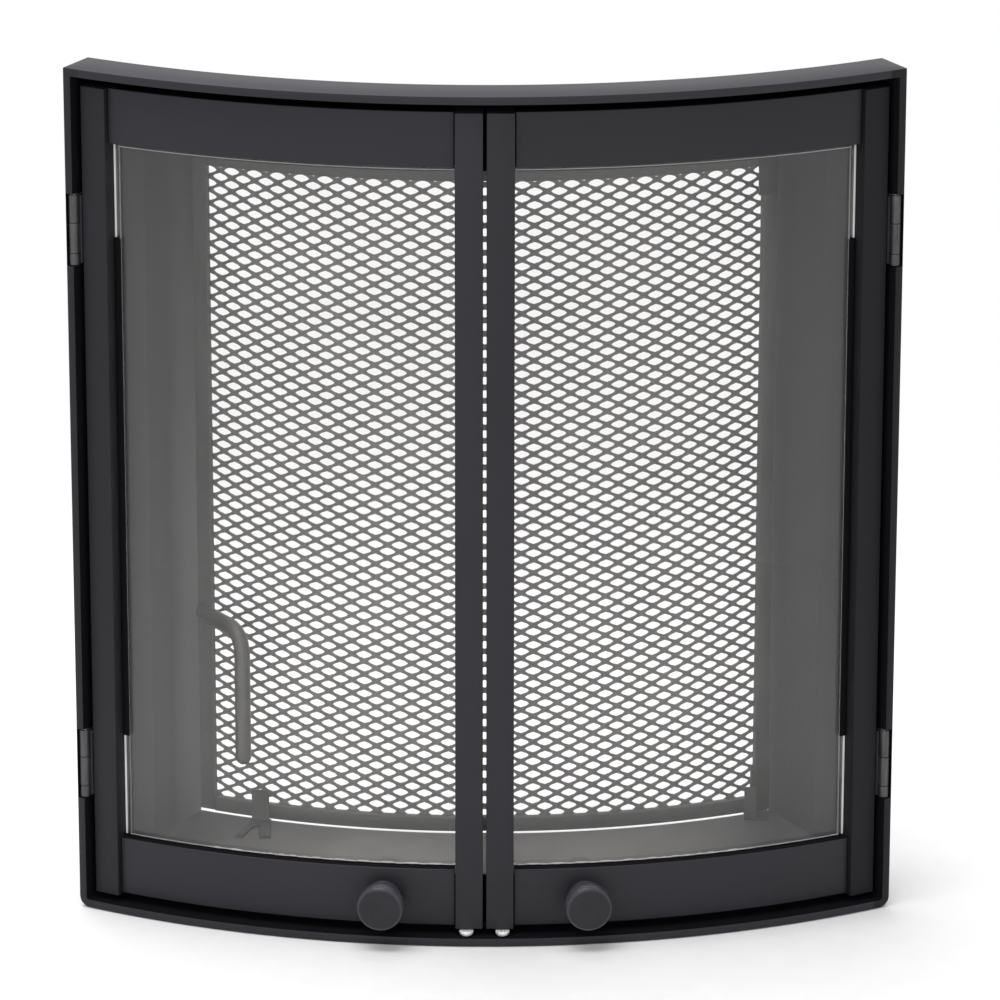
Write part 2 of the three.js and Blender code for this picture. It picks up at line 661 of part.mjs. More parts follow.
// The stop that the closed screen rests against: a tab on the floor, on a foot with two toes.
function screenStop() {
  const innerX = STOP_X + STOP_HALF_WIDTH;
  const rear = -1.2 - Math.sqrt((SCREEN_FACE + GAP) ** 2 - innerX ** 2);
  const tabHalfWidth = 4.6;
  const low = FLOOR_TOP + GAP;
  const footTop = FLOOR_TOP + STRAP;
  const footFront = rear - STOP_FOOT;
  const foot = block([STOP_X - STOP_HALF_WIDTH, footFront, low], [innerX, rear, footTop]);
  const tab = block(
    [STOP_X - tabHalfWidth, rear - STRAP, low],
    [STOP_X + tabHalfWidth, rear, STOP_HEIGHT],
  );
  const toe = block([STOP_X, rear - STOP_TOE, low], [innerX, footFront + 1, footTop]);
  const spur = block([0, STOP_FOOT / 2 - STOP_TOE, low], [SPUR_WIDTH, 0, footTop])
    .rotateZ(-SPUR_ANGLE)
    .translate(STOP_X - STOP_HALF_WIDTH, rear - STOP_FOOT / 2, 0);
  return joined(foot, tab, toe, spur);
}

// ---- Assembly ----

const unit = new THREE.Group();
unit.position.y = BOW_CENTRE_Y;

function section(name) {
  const group = new THREE.Group();
  group.name = name;
  unit.add(group);
  return (pieceName, geometry, material) => {
    const mesh = new THREE.Mesh(geometry, MATERIALS[material]);
    mesh.name = pieceName;
    group.add(mesh);
  };
}

const SIDES = [["left", -1], ["right", 1]];

function buildFrame() {
  const add = section("frame");
  const rimBottom = cut(rimBar(0, RIM_PLATE), cornerTool(-1), cornerTool(1));
  add("rim_bottom", rimBottom, "powderCoat");
  add("rim_top", rimBar(HEIGHT - RIM_PLATE, HEIGHT), "powderCoat");
  add("sill_plate", lining(RIM_PLATE + GAP, FLOOR_TOP), "powderCoat");
  add("header_plate", lining(CEILING_UNDERSIDE, HEIGHT - RIM_PLATE - GAP), "powderCoat");
  add("floor_plate", hearthPlate(FLOOR_TOP - PLATE, FLOOR_TOP), "lining");
  add("ceiling_plate", hearthPlate(CEILING_UNDERSIDE, CEILING_UNDERSIDE + PLATE), "lining");
  for (const [word, side] of SIDES) {
    add(`rim_${word}`, rimSide(side), "powderCoat");
    add(`wing_${word}`, wing(word, side), "lining");
    add(`magnet_${word}`, magnet(side), "bright");
    for (const [level, bottom] of Object.entries(HINGE_BOTTOMS)) {
      add(`hinge_frame_leaf_${word}_${level}`, frameLeaf(side, bottom), "hingeSteel");
      add(`hinge_pin_${word}_${level}`, hingePin(side, bottom), "hingeSteel");
    }
  }
  const floor = FLOOR_TOP + GAP;
  const ceiling = CEILING_UNDERSIDE - GAP;
  const collar = upright(
    PIVOT_X, PIVOT_Y, PIVOT_BORE + 4, SCREEN_TOP + GAP, ceiling - BRACKET / 2, 20,
  );
  const tabTop = SCREEN_BOTTOM + STRAP;
  const tabUnderside = SCREEN_TOP - STRAP;
  const lowerPin = upright(PIVOT_X, PIVOT_Y, PIVOT_PIN, floor, tabTop, 12);
  const upperPin = upright(PIVOT_X, PIVOT_Y, PIVOT_PIN, tabUnderside, ceiling - GAP, 12);
  const lowerBracket = pivotBracket([floor, floor + BRACKET], bracketLug());
  const upperBracket = pivotBracket([ceiling - BRACKET, ceiling], collar);
  add("screen_bracket_lower", lowerBracket, "screenSteel");
  add("screen_bracket_upper", upperBracket, "screenSteel");
  add("screen_pin_lower", lowerPin, "hingeSteel");
  add("screen_pin_upper", upperPin, "hingeSteel");
  add("screen_stop", screenStop(), "screenSteel");
}

function buildDoor(word, side) {
  const add = section(`${word}_door`);
  add(`${word}_outer_stile`, outerStile(side), "powderCoat");
  add(`${word}_centre_stile`, centreStile(side), "powderCoat");
  add(`${word}_top_rail`, rail(side, DOOR_TOP - TOP_RAIL, DOOR_TOP), "powderCoat");
  add(`${word}_bottom_rail`, bottomRail(side), "powderCoat");
  add(`${word}_glass`, glass(side), "glass");
  add(`${word}_glass_clamp`, glassClamp(side), "powderCoat");
  add(`${word}_knob_rosette`, knobRosette(side), "knob");
  add(`${word}_knob`, knob(side), "knob");
  add(`${word}_knob_screw`, knobScrew(side), "hingeSteel");
  for (const [level, bottom] of Object.entries(HINGE_BOTTOMS)) {
    add(`hinge_door_leaf_${word}_${level}`, doorLeaf(side, bottom), "hingeSteel");
  }
}

function buildScreen() {
  const add = section("spark_screen");
  add("screen_bar_left", screenSideBar(-1), "screenSteel");
  add("screen_bar_right", screenSideBar(1), "screenSteel");
  const bottomBar = screenCrossBar(SCREEN_BOTTOM, SCREEN_BOTTOM + BOTTOM_BAR_HEIGHT);
  add("screen_bar_bottom", bottomBar, "screenSteel");
  add("screen_bar_top", screenCrossBar(SCREEN_TOP - TOP_BAR_HEIGHT, SCREEN_TOP), "screenSteel");
  add("screen_mesh", screenNet(), "screenSteel");
  add("screen_handle", screenHandle(), "screenSteel");
  const lowerStrap = pivotStrap(
    [SCREEN_BOTTOM, SCREEN_BOTTOM + STRAP_HEIGHT],
    [SCREEN_BOTTOM, SCREEN_BOTTOM + STRAP],
  );
  const upperStrap = pivotStrap(
    [SCREEN_TOP - STRAP_HEIGHT, SCREEN_TOP],
    [SCREEN_TOP - STRAP, SCREEN_TOP],
  );
  add("screen_strap_lower", lowerStrap, "screenSteel");
  add("screen_strap_upper", upperStrap, "screenSteel");
}

buildFrame();
SIDES.forEach(([word, side]) => buildDoor(word, side));
buildScreen();

const group = new THREE.Group();
group.add(unit);
export default group;
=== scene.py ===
import math

import bmesh
import bpy
from mathutils import Matrix, Vector


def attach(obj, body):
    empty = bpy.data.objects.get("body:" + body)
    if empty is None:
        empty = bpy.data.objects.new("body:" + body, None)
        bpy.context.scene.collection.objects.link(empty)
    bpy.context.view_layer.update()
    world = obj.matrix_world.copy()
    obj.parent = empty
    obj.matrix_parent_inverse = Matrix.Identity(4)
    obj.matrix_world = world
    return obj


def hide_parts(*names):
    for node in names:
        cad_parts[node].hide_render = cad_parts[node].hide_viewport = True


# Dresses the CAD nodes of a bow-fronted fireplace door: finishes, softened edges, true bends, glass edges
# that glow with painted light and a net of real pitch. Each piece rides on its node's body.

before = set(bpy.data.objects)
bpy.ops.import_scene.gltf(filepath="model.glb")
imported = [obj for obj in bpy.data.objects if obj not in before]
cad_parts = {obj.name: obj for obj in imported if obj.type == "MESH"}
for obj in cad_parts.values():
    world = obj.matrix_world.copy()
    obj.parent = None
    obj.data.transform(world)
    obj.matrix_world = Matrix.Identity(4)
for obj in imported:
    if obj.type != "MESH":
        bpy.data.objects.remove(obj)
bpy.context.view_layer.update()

# Millimetres, about the bow's upright centre line, as in the part's source.
BOW_RADIUS = 610
WIDTH = 600
HEIGHT = 642
RIM_DEPTH = 33
RIM_PLATE = 6
RIM_CORNER = 8  # outer radius of the bottom corners
GAP = 0.3  # between pieces that touch
FLOOR_TOP = 45
CEILING_UNDERSIDE = 580.5
SILL_RADIUS = 583  # front face of the sill and the header
SILL_PLATE = 3
HALF_ANGLE = math.asin(WIDTH / 2 / BOW_RADIUS)

DOOR_FACE = 600  # radius of the rails' front face
RAIL_THICKNESS = 12
DOOR_BOTTOM = 12.5
DOOR_TOP = 628.5
BOTTOM_RAIL = 43.8
TOP_RAIL = 41
OUTER_EDGE = 30.3  # where a rail meets the outer stile, in from the rim's outer face
CENTRE_EDGE = 21.55  # where a rail meets the centre stile, from the unit's middle
GLASS_FACE = 593.5
GLASS_THICKNESS = 4
GLASS_OUTER_EDGE = 34.3
GLASS_CENTRE_EDGE = 16.65
GLASS_EDGE_GAP = 1  # to the rails
CLAMP_BOTTOM = 135.5
CLAMP_TOP = 516

HINGE_BOTTOMS = {"lower": 87, "upper": 496}  # heights of the hinges' lower ends
HINGE_HEIGHT = 52
HINGE_RADIUS = 606  # the hinge axis, from the bow's centre
HINGE_INSET = 4.3  # the hinge axis, in from the rim's outer face
KNUCKLE_RADIUS = 3.6

KNOB_Z = 32.8
KNOB_FRONT = 25.2  # the head's face, in front of the rail
KNOB_FACE_RADIUS = 14.4
KNOB_ANGLE = math.asin(73.5 / DOOR_FACE)

SCREEN_FACE = 500  # radius of the screen bars' front face
SCREEN_BAR = 6  # thickness of the bars
SCREEN_BAR_WIDTH = 11
SCREEN_ANGLE = math.asin(212.5 / SCREEN_FACE)
NET_BACK = 491.8  # radius of the CAD net's rear face
NET_ANGLE = SCREEN_ANGLE - 1.5 / SCREEN_FACE

# The frame's origin is midway between the knobs' faces and the back of the net.
FRONT_REACH = (DOOR_FACE + KNOB_FRONT) * math.cos(KNOB_ANGLE) + KNOB_FACE_RADIUS * math.sin(KNOB_ANGLE)
CENTRE_Y = (FRONT_REACH + NET_BACK * math.cos(NET_ANGLE)) / 2
SIDES = (("left", -1), ("right", 1))


def place(radius, angle, z):
    """A point of the row frame in metres, from a radius, an angle to the right and a height in mm."""
    return Vector((radius * math.sin(angle), CENTRE_Y - radius * math.cos(angle), z)) / 1000


# ---------------------------------------------------------------- materials


class Nodes:
    """A material's node tree, with short calls for the nodes used here."""

    def __init__(self, name, **uniform):
        self.material = bpy.data.materials.new(name)
        self.material.use_nodes = True
        self.tree = self.material.node_tree
        self.shader = self.tree.nodes["Principled BSDF"]
        self.coords = self.tree.nodes.new("ShaderNodeTexCoord").outputs["Object"]
        for socket, value in uniform.items():
            self.shader.inputs[socket.replace("_", " ")].default_value = value

    def new(self, kind, inputs=(), **settings):
        node = self.tree.nodes.new("ShaderNode" + kind)
        for key, value in settings.items():
            setattr(node, key, value)
        for socket, value in dict(inputs).items():
            if isinstance(value, bpy.types.NodeSocket):
                self.tree.links.new(value, node.inputs[socket])
            else:
                node.inputs[socket].default_value = value
        return node

    def stretched(self, scale):
        """Object coordinates scaled by axis: a small scale draws a pattern out along that axis."""
        return self.new("Mapping", {"Vector": self.coords, "Scale": scale}).outputs[0]

    def noise(self, scale, detail=3.0, vector=None, distortion=0.0):
        where = vector or self.coords
        inputs = {"Vector": where, "Scale": scale, "Detail": detail, "Distortion": distortion}
        return self.new("TexNoise", inputs).outputs["Fac"]

    def ramp(self, value, low, high, out_low, out_high):
        inputs = {"Value": value, "From Min": low, "From Max": high, "To Min": out_low, "To Max": out_high}
        return self.new("MapRange", inputs).outputs["Result"]

    def colours(self, value, *stops):
        """A colour ramp through (position, colour) stops."""
        node = self.new("ValToRGB", {"Fac": value})
        elements = node.color_ramp.elements
        for position, _ in stops[2:]:
            elements.new(position)
        for element, (position, colour) in zip(elements, sorted(stops)):
            element.position = position
            element.color = (*colour, 1)
        return node.outputs["Color"]

    def mixed(self, factor, first, second):
        node = self.new("Mix", data_type="RGBA")
        for socket, value in ((0, factor), (6, first), (7, second)):
            if isinstance(value, bpy.types.NodeSocket):
                self.tree.links.new(value, node.inputs[socket])
            else:
                node.inputs[socket].default_value = value
        return node.outputs[2]

    def bump(self, height, strength, distance, normal=None):
        inputs = {"Height": height, "Strength": strength, "Distance": distance}
        if normal:
            inputs["Normal"] = normal
        return self.new("Bump", inputs).outputs["Normal"]

    def link(self, **sockets):
        """Feeds the shader's sockets and returns the material."""
        for socket, value in sockets.items():
            self.tree.links.new(value, self.shader.inputs[socket.replace("_", " ")])
        return self.material


def tinted(colour, factor):
    return tuple(c * factor for c in colour)


def powder_coat(name, colour, rough, seed, gloss=0.3):
    """Fine-textured powder coat: an orange-peel skin, cloudy gloss, and a little pale dust."""
    n = Nodes(name, Metallic=0.0, Specular_IOR_Level=gloss)
    grain = n.noise(1400, 4)
    peel = n.noise(420, 2)
    cloud = n.noise(5.5, 4, n.new("Mapping", {"Vector": n.coords, "Location": (seed, 0, 0)}).outputs[0])
    base = n.colours(cloud, (0.3, tinted(colour, 0.86)), (0.7, tinted(colour, 1.16)))
    fleck = n.ramp(grain, 0.62, 0.78, 0, 0.35)
    base = n.mixed(fleck, base, (*tinted(colour, 2.1), 1))
    normal = n.bump(peel, 0.16, 0.0004)
    normal = n.bump(grain, 0.22, 0.00015, normal)
    roughness = n.ramp(cloud, 0.25, 0.75, rough - 0.05, rough + 0.08)
    return n.link(Base_Color=base, Roughness=roughness, Normal=normal)


def lining_paint(name, colour, lit_middle=None, painted_rear_light=1.0):
    """Matt stove paint on sheet, with heat bloom, a colour that darkens towards the top and rolled-sheet
    streaks.

    Given a second colour, the middle of the hearth is painted that paler colour, out to darker sides: a
    painted pool of light. The last argument is how much paler the rear edge is painted: painted light, as
    if it fell in from the back.
    """
    n = Nodes(name, Metallic=0.0, Specular_IOR_Level=0.3)
    bloom = n.noise(7, 5, distortion=0.6)
    streaks = n.noise(30, 3, n.stretched((1, 1, 0.06)))
    x, y, z = n.new("SeparateXYZ", {"Vector": n.coords}).outputs
    base = n.colours(bloom, (0.25, tinted(colour, 0.86)), (0.55, colour), (0.8, tinted(colour, 1.14)))
    # Painted light: a paler pool in the middle of the hearth.
    if lit_middle:
        sideways = n.new("Math", {0: x}, operation="ABSOLUTE").outputs[0]
        wander = n.ramp(bloom, 0.3, 0.7, -0.03, 0.03)
        blurred = n.new("Math", {0: sideways, 1: wander}, operation="ADD").outputs[0]
        base = n.mixed(n.ramp(blurred, 0.10, 0.22, 1, 0), base, (*lit_middle, 1))
    base = n.mixed(n.ramp(streaks, 0.45, 0.7, 0, 0.2), base, (*tinted(colour, 1.4), 1))
    # Painted light: the rear edge is paler, as if lit from the open back.
    if painted_rear_light > 1:
        base = n.mixed(n.ramp(y, 0.050, 0.080, 0, 1), base, (*tinted(colour, painted_rear_light), 1))
    # Darker towards the top.
    base = n.mixed(n.ramp(z, 0.28, 0.57, 0, 0.85), base, (*tinted(colour, 0.15), 1))
    normal = n.bump(n.noise(300, 2), 0.06, 0.0002)
    return n.link(Base_Color=base, Roughness=n.ramp(bloom, 0.2, 0.8, 0.5, 0.72), Normal=normal)


def dull_steel(name, colour, rough, metallic=0.85):
    """Rolled steel with a fine upright grain and darker rubbed patches."""
    n = Nodes(name, Metallic=metallic)
    grain = n.noise(600, 3, n.stretched((1, 1, 0.05)))
    patches = n.noise(60, 3)
    base = n.colours(patches, (0.3, tinted(colour, 0.7)), (0.65, colour), (0.9, tinted(colour, 1.3)))
    base = n.mixed(n.ramp(grain, 0.4, 0.7, 0, 0.35), base, (*tinted(colour, 1.5), 1))
    normal = n.bump(grain, 0.15, 0.0001)
    roughness = n.ramp(patches, 0.2, 0.8, rough - 0.08, rough + 0.12)
    return n.link(Base_Color=base, Roughness=roughness, Normal=normal)


def net_steel(name, colour):
    """Slit and stretched sheet: burnished strand edges over a dark, sooty coat."""
    n = Nodes(name, Metallic=0.35)
    soot = n.noise(14, 5)
    fine = n.noise(500, 3)
    base = n.colours(soot, (0.25, tinted(colour, 0.72)), (0.75, tinted(colour, 1.25)))
    base = n.mixed(n.ramp(fine, 0.5, 0.75, 0, 0.4), base, (*tinted(colour, 1.7), 1))
    normal = n.bump(fine, 0.3, 0.0002)
    return n.link(Base_Color=base, Roughness=n.ramp(soot, 0.2, 0.8, 0.42, 0.62), Normal=normal)


def knob_coat(name, colour, side):
    """Satin coat on a turned knob: faint lathe rings about the knob's own axis and a paler edge, a painted
    highlight.
    """
    n = Nodes(name, Metallic=0.0, Specular_IOR_Level=0.3)
    axis = place(DOOR_FACE, side * KNOB_ANGLE, KNOB_Z)
    local = n.new("Mapping", {"Vector": n.coords, "Location": -axis}).outputs[0]
    turned = n.new("Mapping", {"Vector": local, "Rotation": (0, 0, -side * KNOB_ANGLE)}).outputs[0]
    flat = n.new("VectorMath", {0: turned, 1: (1, 0, 1)}, operation="MULTIPLY").outputs[0]
    radius = n.new("VectorMath", {0: flat}, operation="LENGTH").outputs["Value"]
    per_metre = 9000.0  # in radians, so that a ring follows every 0.7 mm
    rings = n.new("Math", {0: radius, 1: per_metre}, operation="MULTIPLY").outputs[0]
    rings = n.new("Math", {0: rings}, operation="SINE").outputs[0]
    cloud = n.noise(90, 4)
    base = n.colours(cloud, (0.3, tinted(colour, 0.85)), (0.75, tinted(colour, 1.2)))
    # Painted highlight: the head's edge is painted paler, and is glossier, all round.
    edge = n.ramp(radius, 0.0146, 0.0166, 0, 1)
    base = n.mixed(edge, base, (*tinted(colour, 3.2), 1))
    rough = n.ramp(cloud, 0.2, 0.8, 0.36, 0.5)
    rough = n.new("Math", {0: rough, 1: n.ramp(edge, 0, 1, 0, 0.2)}, operation="SUBTRACT").outputs[0]
    normal = n.bump(rings, 0.05, 0.0001)
    normal = n.bump(n.noise(1500, 3), 0.15, 0.0001, normal)
    return n.link(Base_Color=base, Roughness=rough, Normal=normal)


def bright_plate(name):
    """Bright nickel plate with fine scratches."""
    n = Nodes(name, Metallic=0.3)
    scratches = n.noise(700, 2, n.stretched((1, 0.08, 1)))
    base = n.colours(scratches, (0.3, (0.86, 0.86, 0.86)), (0.7, (0.98, 0.98, 0.98)))
    roughness = n.ramp(scratches, 0.3, 0.7, 0.2, 0.34)
    return n.link(Base_Color=base, Roughness=roughness, Normal=n.bump(scratches, 0.1, 0.0001))


def through_for_shadows(n, tint):
    """Lets shadow rays straight through, so that glass doesn't darken what is behind it."""
    clear = n.new("BsdfTransparent", {"Color": (*tint, 1)}).outputs[0]
    shadow = n.new("LightPath").outputs["Is Shadow Ray"]
    mix = n.new("MixShader", {"Fac": shadow})
    n.tree.links.new(n.shader.outputs[0], mix.inputs[1])
    n.tree.links.new(clear, mix.inputs[2])
    n.tree.links.new(mix.outputs[0], n.tree.nodes["Material Output"].inputs["Surface"])


def stove_glass(name):
    """Clear glass ceramic: a faint veil of bloom, a warm-grey tint and a barely rippled surface."""
    n = Nodes(name, Metallic=0.0, IOR=1.45, Roughness=0.0, Transmission_Weight=1.0)
    bloom = n.noise(6, 5, distortion=0.8)
    base = n.colours(bloom, (0.3, (0.905, 0.90, 0.90)), (0.75, (0.965, 0.96, 0.96)))
    ripple = n.noise(9, 1)
    n.link(Base_Color=base, Normal=n.bump(ripple, 0.02, 0.002))
    through_for_shadows(n, (0.945, 0.94, 0.94))
    return n.material


def glass_edge(name, colour, glow):
    """The glass's ground edge, which gathers the light that the pane takes in, shown as a painted glow: the
    edge emits light.
    """
    n = Nodes(name, Metallic=0.0, IOR=1.5, Emission_Strength=glow)
    frost = n.noise(160, 4, n.stretched((1, 1, 0.3)))
    base = n.colours(frost, (0.3, tinted(colour, 0.85)), (0.7, colour))
    normal = n.bump(frost, 0.2, 0.0003)
    roughness = n.ramp(frost, 0.3, 0.7, 0.12, 0.3)
    return n.link(Base_Color=base, Emission_Color=base, Roughness=roughness, Normal=normal)


# As in the photograph, the left door and side are a little paler than the right ones: painted light, lit
# and shaded copies of one coat, as if the light fell from the left. "shaded" is a painted shade for what
# lies deep in the rim and for the rails' narrow faces.
COAT = (0.0204, 0.0196, 0.0252)
KNOB_COAT = (0.0186, 0.0178, 0.0226)
MATERIALS = {
    "rim": powder_coat("rim_coat", tinted(COAT, 0.97), 0.46, 0.0),
    "rim_left": powder_coat("rim_coat_lit_left", tinted(COAT, 0.76), 0.5, 1.3, 0.26),
    "rim_right": powder_coat("rim_coat_shaded_right", tinted(COAT, 0.52), 0.5, 1.3, 0.2),
    "door_left": powder_coat("door_coat_lit_left", tinted(COAT, 1.04), 0.48, 3.1),
    "door_right": powder_coat("door_coat_shaded_right", tinted(COAT, 0.92), 0.48, 7.7),
    "stile_left": powder_coat("stile_coat_lit_left", tinted(COAT, 0.74), 0.52, 2.2, 0.26),
    "stile_right": powder_coat("stile_coat_shaded_right", tinted(COAT, 0.50), 0.56, 6.4, 0.2),
    "shaded": powder_coat("shaded_coat", tinted(COAT, 0.22), 0.8, 5.0, 0.08),
    # The linings are painted paler on the left and darker on the right: painted light falling from the
    # left.
    "lining_left": lining_paint("lining_paint_lit_left", (0.074, 0.073, 0.073), painted_rear_light=3.0),
    "lining_right": lining_paint("lining_paint_shaded_right", (0.042, 0.041, 0.041)),
    "hearth": lining_paint("hearth_paint", (0.062, 0.060, 0.059), (0.188, 0.184, 0.180)),
    "hinge": dull_steel("hinge_steel", (0.098, 0.098, 0.100), 0.45),
    "pin": dull_steel("pin_steel", (0.20, 0.20, 0.20), 0.38),
    "screw": dull_steel("screw_steel", (0.08, 0.08, 0.085), 0.45, 0.7),
    "screen": net_steel("screen_bar_steel", (0.098, 0.096, 0.092)),
    "lug": net_steel("lug_steel", (0.050, 0.049, 0.047)),
    "net": net_steel("net_steel", (0.165, 0.161, 0.152)),
    "handle": dull_steel("handle_steel", (0.130, 0.128, 0.122), 0.42, 0.5),
    "knob_left": knob_coat("knob_coat_left", KNOB_COAT, -1),
    "knob_right": knob_coat("knob_coat_right", KNOB_COAT, 1),
    "bright": bright_plate("bright_plate"),
    "glass": stove_glass("stove_glass"),
    # Painted glow: the glass edges' finishes emit light.
    "edge": glass_edge("glass_edge", (0.84, 0.84, 0.83), 0.15),
    "edge_dim": glass_edge("glass_edge_dim", (0.44, 0.44, 0.43), 0.05),
    "edge_side": glass_edge("glass_edge_side", (0.28, 0.28, 0.28), 0.03),
}

# ---------------------------------------------------------------- meshes


def soften(bm, bevel, segments):
    """Bevels the hard edges, by a width in millimetres."""
    bmesh.ops.recalc_face_normals(bm, faces=bm.faces)
    hard = [e for e in bm.edges if e.is_manifold and e.calc_face_angle() > math.radians(25)]
    bmesh.ops.bevel(
        bm, geom=hard, offset=bevel / 1000, segments=segments, profile=0.5,
        affect="EDGES", clamp_overlap=True,
    )


def as_object(name, bm):
    """Puts a bmesh into the scene as an object, and frees it."""
    mesh = bpy.data.meshes.new(name)
    bm.to_mesh(mesh)
    bm.free()
    made = bpy.data.objects.new(name, mesh)
    bpy.context.scene.collection.objects.link(made)
    return made


def show(name, bm, material, body, replaced=(), bevel=0.0, segments=2, smooth=40):
    """Turns a bmesh into a piece: bevels its hard edges, shades it, gives it its finish and its body."""
    if bevel:
        soften(bm, bevel, segments)
    else:
        bmesh.ops.recalc_face_normals(bm, faces=bm.faces)
    piece = as_object(name, bm)
    for polygon in piece.data.polygons:
        polygon.use_smooth = True
    piece.data.set_sharp_from_angle(angle=math.radians(smooth))
    piece.data.materials.append(MATERIALS[material])
    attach(piece, body)
    if replaced:
        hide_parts(*replaced)
    return piece


def repaint(piece, material, chosen):
    """Gives some faces another finish, by their normal, centre and how squarely they face the bow."""
    piece.data.materials.append(MATERIALS[material])
    axis = Vector((0, CENTRE_Y / 1000, 0))
    for polygon in piece.data.polygons:
        outward = polygon.center - axis
        outward.z = 0
        facing = abs(polygon.normal.dot(outward.normalized()))
        if chosen(polygon.normal, polygon.center, facing):
            polygon.material_index = len(piece.data.materials) - 1


def copy_of(node):
    """The CAD node's mesh with its flat faces merged."""
    bm = bmesh.new()
    bm.from_mesh(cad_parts[node].data)
    bmesh.ops.remove_doubles(bm, verts=bm.verts, dist=2e-6)
    bmesh.ops.dissolve_limit(
        bm, angle_limit=math.radians(0.6), use_dissolve_boundaries=False,
        verts=bm.verts, edges=bm.edges,
    )
    return bm


def dressed(node, material, body, bevel=0.5, segments=2, smooth=40):
    """A bevelled copy of one CAD node, in its place."""
    bm = copy_of(node)
    return show(node + "_finished", bm, material, body, [node], bevel, segments, smooth)


def bar_through(sections, closed=False):
    """A bar through sections with equal numbers of points: capped at its ends, or closed on itself."""
    bm = bmesh.new()
    loops = [[bm.verts.new(p) for p in section] for section in sections]
    count = len(loops[0])
    following = loops[1:] + loops[:1] if closed else loops[1:]
    for a, b in zip(loops, following):
        for i in range(count):
            j = (i + 1) % count
            bm.faces.new((a[i], a[j], b[j], b[i]))
    if not closed:
        bm.faces.new(loops[0])
        bm.faces.new(loops[-1])
    return bm


# The end of a bent bar is a function from a radius to an angle, so that it can be a straight cut.


def at_x(x):
    """A cut beside the unit's middle, on the right."""
    return lambda radius: math.asin(x / radius)


def in_from_rim(inset):
    """A cut along the rim's right side, this far in from its outer face."""
    return lambda radius: HALF_ANGLE - math.asin(inset / radius)


def mirrored(end):
    """The same cut on the left."""
    return lambda radius: -end(radius)


def bent_bar(inner, outer, start, end, low, high, steps=96):
    """A bar bent about the bow's centre, truly round."""
    rings = []
    for i in range(steps + 1):
        t = i / steps

        def angle(radius):
            return start(radius) * (1 - t) + end(radius) * t

        rings.append([
            place(inner, angle(inner), low), place(outer, angle(outer), low),
            place(outer, angle(outer), high), place(inner, angle(inner), high),
        ])
    return bar_through(rings)


def door_bar(side, inner, outer, centre, inset, low, high, steps=48):
    """A bent bar of one door, from so far beside the unit's middle to so far in from the rim."""
    near, far = at_x(centre), in_from_rim(inset)
    if side > 0:
        return bent_bar(inner, outer, near, far, low, high, steps)
    return bent_bar(inner, outer, mirrored(far), mirrored(near), low, high, steps)


def turned_about_knob(side, profile, count=96):
    """A solid of revolution about the knob's axis, from (radius, distance in front of the rail) in mm."""
    spin = Matrix.Rotation(side * KNOB_ANGLE, 3, "Z")
    centre = Vector((0, CENTRE_Y / 1000, 0))
    rings = []
    for radius, height in profile:
        ring = []
        for i in range(count):
            a = 2 * math.pi * i / count
            p = Vector((radius * math.cos(a), -DOOR_FACE - height, radius * math.sin(a) + KNOB_Z)) / 1000
            ring.append(spin @ p + centre)
        rings.append(ring)
    return bar_through(rings)


# ---------------------------------------------------------------- frame


def rim_station(along, height, inset):
    """The front and back points of the rim at a share of its width (-1 to 1), in from the end."""
    angle = HALF_ANGLE * along
    inwards = Vector((math.cos(angle), math.sin(angle), 0)) * math.copysign(inset, -along) / 1000
    return [place(radius, angle, height) + inwards for radius in (BOW_RADIUS, BOW_RADIUS - RIM_DEPTH)]


def rim_section(outer, inner):
    """The four corners of the bar where its outer and inner faces have these stations."""
    (front, back), (front_in, back_in) = rim_station(*outer), rim_station(*inner)
    return [front, back, back_in, front_in]


def rim_corner(side):
    """Sections round a bottom corner, from the underside up."""
    sections = []
    bend = RIM_CORNER - RIM_PLATE
    steps = 10
    for i in range(steps + 1):
        turn = math.pi / 2 * i / steps
        low, out = math.cos(turn), math.sin(turn)
        sections.append(rim_section(
            (side, RIM_CORNER * (1 - low), RIM_CORNER * (1 - out)),
            (side, RIM_CORNER - bend * low, RIM_CORNER - bend * out),
        ))
    return sections


def build_rim():
    """One seamless ring of flat bar: both bows and both sides, with rounded bottom corners."""
    top_corner = [rim_section((side, HEIGHT, 0), (side, HEIGHT - RIM_PLATE, RIM_PLATE)) for side in (1, -1)]
    steps = 96
    bow = [1 - 2 * i / steps for i in range(2, steps - 1)]
    top = [rim_section((along, HEIGHT, 0), (along, HEIGHT - RIM_PLATE, 0)) for along in bow]
    bottom = [rim_section((-along, 0, 0), (-along, RIM_PLATE, 0)) for along in bow]
    sections = [
        *rim_corner(1), top_corner[0], *top, top_corner[1], *reversed(rim_corner(-1)), *bottom,
    ]
    bm = bar_through(sections, closed=True)
    soften(bm, 0.5, 2)
    nodes = ["rim_bottom", "rim_top", "rim_left", "rim_right"]
    ring = show("rim_ring", notched(bm), "rim", "frame", nodes)
    middle = Vector((0, 0, HEIGHT / 2000))
    side_x = 0.29
    repaint(ring, "shaded", lambda normal, centre, facing: facing < 0.5 and normal.dot(centre - middle) < 0)
    # Painted light: the sides' front and back faces take a paler coat on the left and a darker one on the
    # right.
    repaint(ring, "rim_left", lambda normal, centre, facing: facing > 0.5 and centre.x < -side_x)
    repaint(ring, "rim_right", lambda normal, centre, facing: facing > 0.5 and centre.x > side_x)


def notch_tool(side, bottom):
    """A block round the knuckles of one hinge, leaving a thin outer wall of the rim's side."""
    wall, width, depth, spare = 0.45, 7, 8.5, 1
    size = Vector((width, depth + spare, HINGE_HEIGHT + 2 * spare))
    inwards = wall + width / 2
    outwards = BOW_RADIUS - depth + size.y / 2
    middle = Vector((-side * inwards, -outwards, bottom + HINGE_HEIGHT / 2))
    turn = Matrix.Rotation(side * HALF_ANGLE, 3, "Z")
    bm = bmesh.new()
    bmesh.ops.create_cube(bm, size=1)
    for v in bm.verts:
        local = Vector(v.co[k] * size[k] for k in range(3)) + middle
        v.co = (turn @ local + Vector((0, CENTRE_Y, 0))) / 1000
    return as_object("notch_tool", bm)


